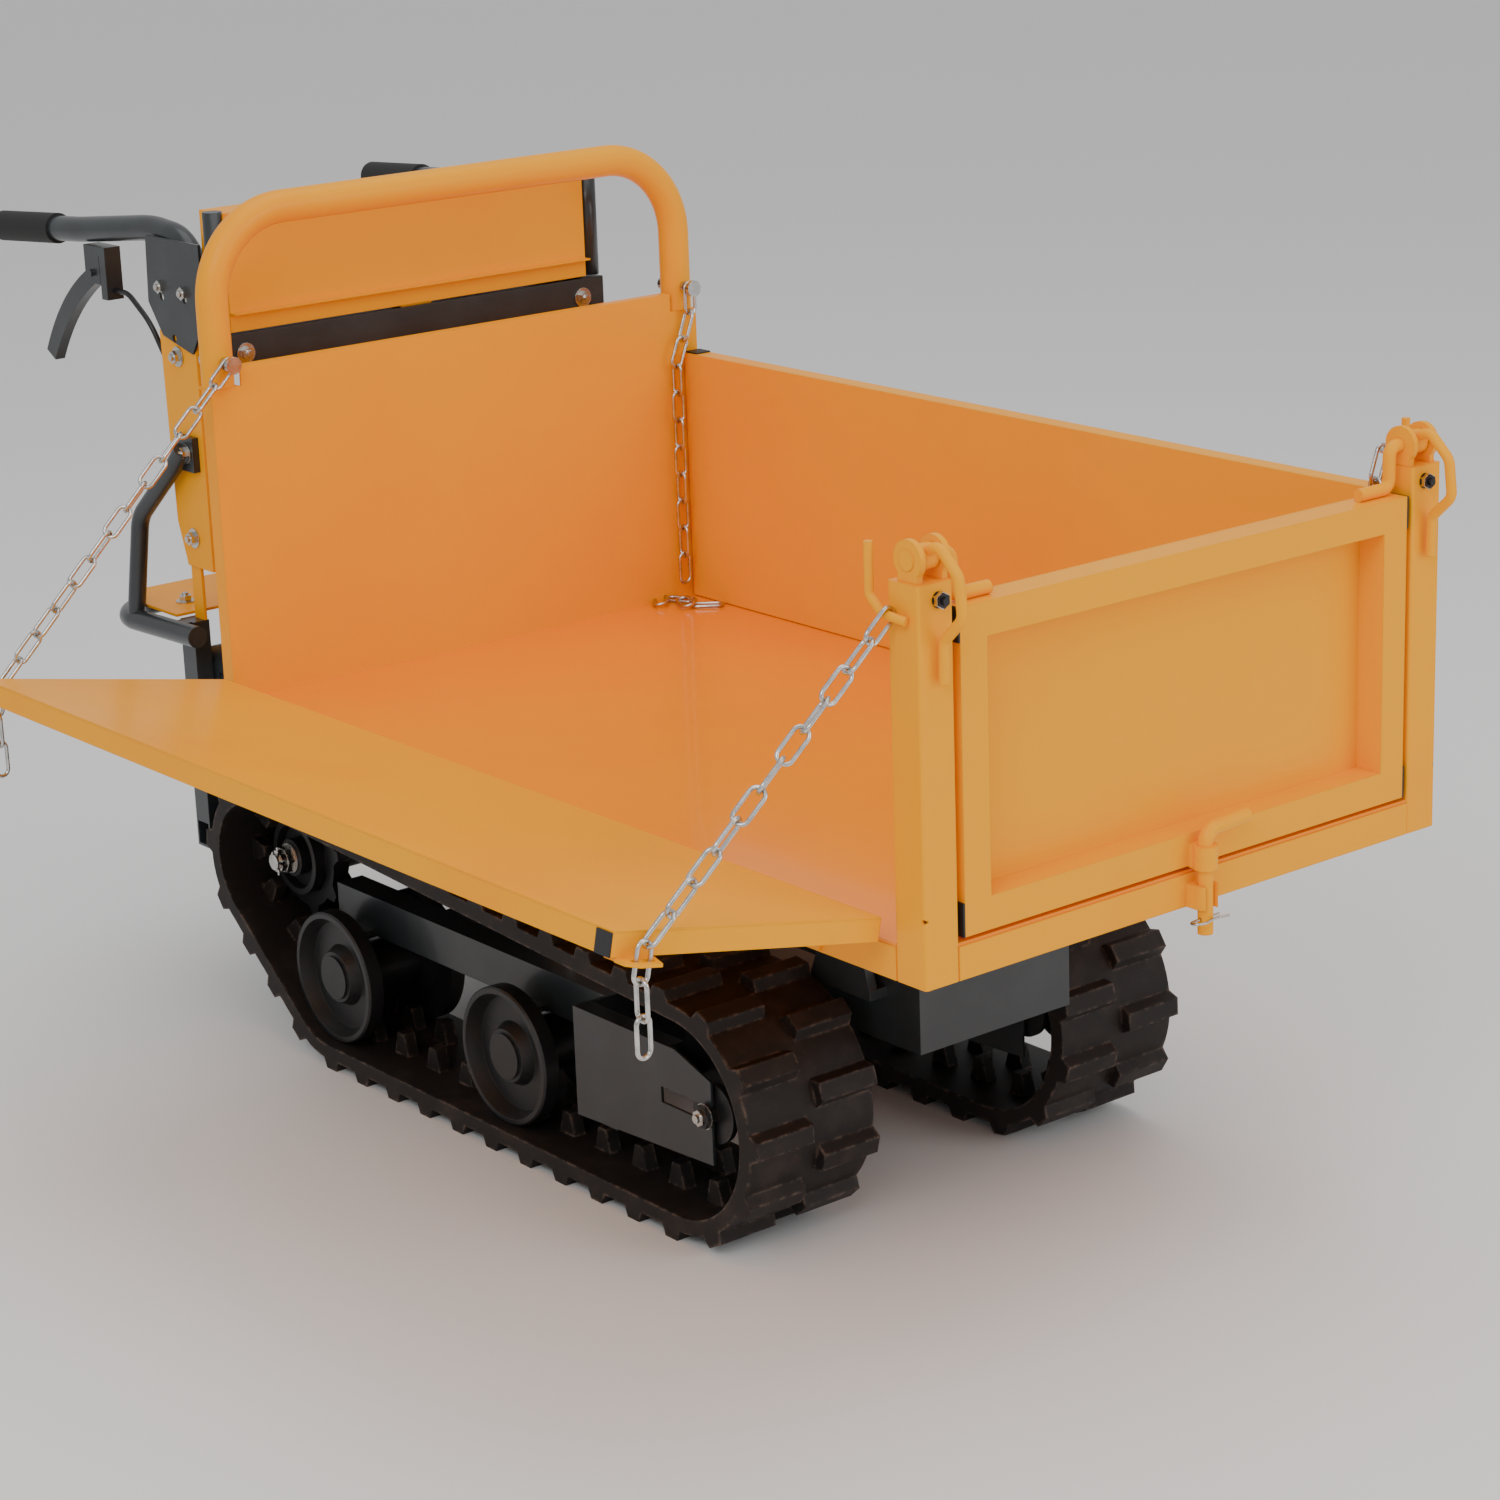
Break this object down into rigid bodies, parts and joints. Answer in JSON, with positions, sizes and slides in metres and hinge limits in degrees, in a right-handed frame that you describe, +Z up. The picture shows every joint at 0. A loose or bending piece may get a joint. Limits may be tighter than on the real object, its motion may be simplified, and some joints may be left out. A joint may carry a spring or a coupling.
{
  "type": "tracked mini dumper",
  "caption": "Walk-behind rubber-tracked carrier with a drop-side tipping tray, side held level on chains, hanging tailgate with drop pin, handlebars and engine behind.",
  "frame": {"origin": "on the ground at the middle of the bounding box, with the right side lowered on its chains", "axes": "+X towards the tailgate end of the tray, +Y the machine's left, +Z up"},
  "size_m": [1.6806, 0.9466, 0.935],
  "materials": {
    "orange_paint": "glossy orange enamel",
    "black_paint": "satin black enamel",
    "zinc": "bright zinc plate",
    "rubber_track": "dark rubber with scuffed lugs",
    "black_plastic": "moulded",
    "cast_black": "painted casting",
    "engine_metal": "cast aluminium",
    "grip_rubber": "soft grip",
    "cable_sheath": "cable sheath"
  },
  "bodies": {
    "chassis": {"chassis_frame": "black_paint", "track_beams": "black_paint", "tension_boxes": "black_paint", "roller_axles": "cast_black", "gearbox": "cast_black", "right_track": "rubber_track", "left_track": "rubber_track", "engine_block": "engine_metal", "recoil_cover": "black_paint", "fuel_tank": "black_paint", "columns": "orange_paint", "bar_brackets": "black_paint", "handlebars": "black_paint", "grips": "grip_rubber", "crossbar": "black_paint", "console": "orange_paint", "engine_guard": "black_paint", "guard_plate": "orange_paint", "lever_mounts": "black_paint", "brake_cables": "cable_sheath", "tip_catch": "orange_paint"},
    "tray": {"tray_frame": "orange_paint", "tray_floor": "orange_paint", "corner_posts": "orange_paint", "hanger_cheeks": "orange_paint", "chain_hooks": "orange_paint", "headboard": "orange_paint", "headboard_arch": "orange_paint", "tray_bolts": "zinc", "latch_keeper": "orange_paint", "side_hinge_brackets": "orange_paint", "right_chains": "zinc", "left_chains": "zinc"},
    "right_side": {"right_side_frame": "orange_paint", "right_side_panel": "orange_paint", "right_side_caps": "black_plastic"},
    "chain_tails": {"chain_tails": "zinc"},
    "left_side": {"left_side_frame": "orange_paint", "left_side_panel": "orange_paint", "left_side_caps": "black_plastic"},
    "tailgate": {"tailgate_frame": "orange_paint", "tailgate_panel": "orange_paint", "tailgate_caps": "black_plastic", "tailgate_hangers": "orange_paint"},
    "latch_pin": {"latch_pin": "orange_paint"},
    "r_clip": {"r_clip": "zinc"},
    "right_release_lever": {"right_release_lever": "orange_paint"},
    "left_release_lever": {"left_release_lever": "orange_paint"},
    "right_drive": {"right_sprocket": "cast_black", "right_axle_nut": "zinc"},
    "left_drive": {"left_sprocket": "cast_black", "left_axle_nut": "zinc"},
    "right_front_roller": {"right_front_roller": "cast_black"},
    "right_rear_roller": {"right_rear_roller": "cast_black"},
    "right_idler": {"right_idler": "cast_black"},
    "left_front_roller": {"left_front_roller": "cast_black"},
    "left_rear_roller": {"left_rear_roller": "cast_black"},
    "left_idler": {"left_idler": "cast_black"},
    "right_brake_lever": {"right_brake_lever": "black_paint"},
    "left_brake_lever": {"left_brake_lever": "black_paint"}
  },
  "joints": [
    {"name": "tray_tip", "type": "hinge", "parent": "chassis", "child": "tray", "pos_m": [0.45508, 0.13777, 0.318], "axis": [0, 1, 0], "range_deg": [0, 55]},
    {"name": "right_side_hinge", "type": "hinge", "parent": "tray", "child": "right_side", "pos_m": [0.24008, -0.18973, 0.404], "axis": [-1, 0, 0], "range_deg": [0, 78.4], "deforming": ["right_chains"]},
    {"name": "chain_tails_hang", "type": "hinge", "parent": "right_side", "child": "chain_tails", "pos_m": [0.77508, -0.45078, 0.45514], "axis": [-1, 0, 0], "range_deg": [-78.4, 0]},
    {"name": "left_side_hinge", "type": "hinge", "parent": "tray", "child": "left_side", "pos_m": [0.24008, 0.46527, 0.404], "axis": [-1, 0, 0], "range_deg": [0, 150], "deforming": ["left_chains"]},
    {"name": "tailgate_swing", "type": "hinge", "parent": "tray", "child": "tailgate", "pos_m": [0.78808, 0.13777, 0.744], "axis": [0, -1, 0], "range_deg": [0, 85]},
    {"name": "latch_pin_lift", "type": "slide", "parent": "tailgate", "child": "latch_pin", "axis": [0, 0, 1], "range_m": [0, 0.045]},
    {"name": "r_clip_pull", "type": "slide", "parent": "tailgate", "child": "r_clip", "axis": [0, -1, 0], "range_m": [0, 0.045], "deforming": ["r_clip"]},
    {"name": "right_release_swing", "type": "hinge", "parent": "tray", "child": "right_release_lever", "pos_m": [0.78808, -0.15873, 0.744], "axis": [0, -1, 0], "range_deg": [0, 100]},
    {"name": "left_release_swing", "type": "hinge", "parent": "tray", "child": "left_release_lever", "pos_m": [0.78808, 0.43427, 0.744], "axis": [0, -1, 0], "range_deg": [0, 100]},
    {"name": "right_drive_spin", "type": "hinge", "parent": "chassis", "child": "right_drive", "pos_m": [-0.35492, -0.06023, 0.198], "axis": [0, 1, 0], "continuous": true},
    {"name": "right_front_roller_spin", "type": "hinge", "parent": "chassis", "child": "right_front_roller", "pos_m": [0.08908, -0.06023, 0.1], "axis": [0, 1, 0], "continuous": true},
    {"name": "right_rear_roller_spin", "type": "hinge", "parent": "chassis", "child": "right_rear_roller", "pos_m": [-0.22792, -0.06023, 0.1], "axis": [0, 1, 0], "continuous": true},
    {"name": "right_idler_spin", "type": "hinge", "parent": "chassis", "child": "right_idler", "pos_m": [0.43408, -0.06023, 0.142], "axis": [0, 1, 0], "continuous": true},
    {"name": "left_drive_spin", "type": "hinge", "parent": "chassis", "child": "left_drive", "pos_m": [-0.35492, 0.33577, 0.198], "axis": [0, 1, 0], "continuous": true},
    {"name": "left_front_roller_spin", "type": "hinge", "parent": "chassis", "child": "left_front_roller", "pos_m": [0.08908, 0.33577, 0.1], "axis": [0, 1, 0], "continuous": true},
    {"name": "left_rear_roller_spin", "type": "hinge", "parent": "chassis", "child": "left_rear_roller", "pos_m": [-0.22792, 0.33577, 0.1], "axis": [0, 1, 0], "continuous": true},
    {"name": "left_idler_spin", "type": "hinge", "parent": "chassis", "child": "left_idler", "pos_m": [0.43408, 0.33577, 0.142], "axis": [0, 1, 0], "continuous": true},
    {"name": "right_brake_squeeze", "type": "hinge", "parent": "chassis", "child": "right_brake_lever", "pos_m": [-0.64292, -0.10223, 0.818], "axis": [0, 1, 0], "range_deg": [0, 14], "stiffness_Nm_per_rad": 1},
    {"name": "left_brake_squeeze", "type": "hinge", "parent": "chassis", "child": "left_brake_lever", "pos_m": [-0.64292, 0.37777, 0.818], "axis": [0, 1, 0], "range_deg": [0, 14], "stiffness_Nm_per_rad": 1}
  ],
  "couplings": [
    {"joint": "chain_tails_hang", "follows": "right_side_hinge", "ratio": -1},
    {"joint": "r_clip_pull", "follows": "latch_pin_lift", "ratio": 1},
    {"joint": "right_front_roller_spin", "follows": "right_drive_spin", "ratio": 1.0465},
    {"joint": "right_rear_roller_spin", "follows": "right_drive_spin", "ratio": 1.0465},
    {"joint": "right_idler_spin", "follows": "right_drive_spin", "ratio": 1.4979},
    {"joint": "left_front_roller_spin", "follows": "left_drive_spin", "ratio": 1.0465},
    {"joint": "left_rear_roller_spin", "follows": "left_drive_spin", "ratio": 1.0465},
    {"joint": "left_idler_spin", "follows": "left_drive_spin", "ratio": 1.4979}
  ]
}
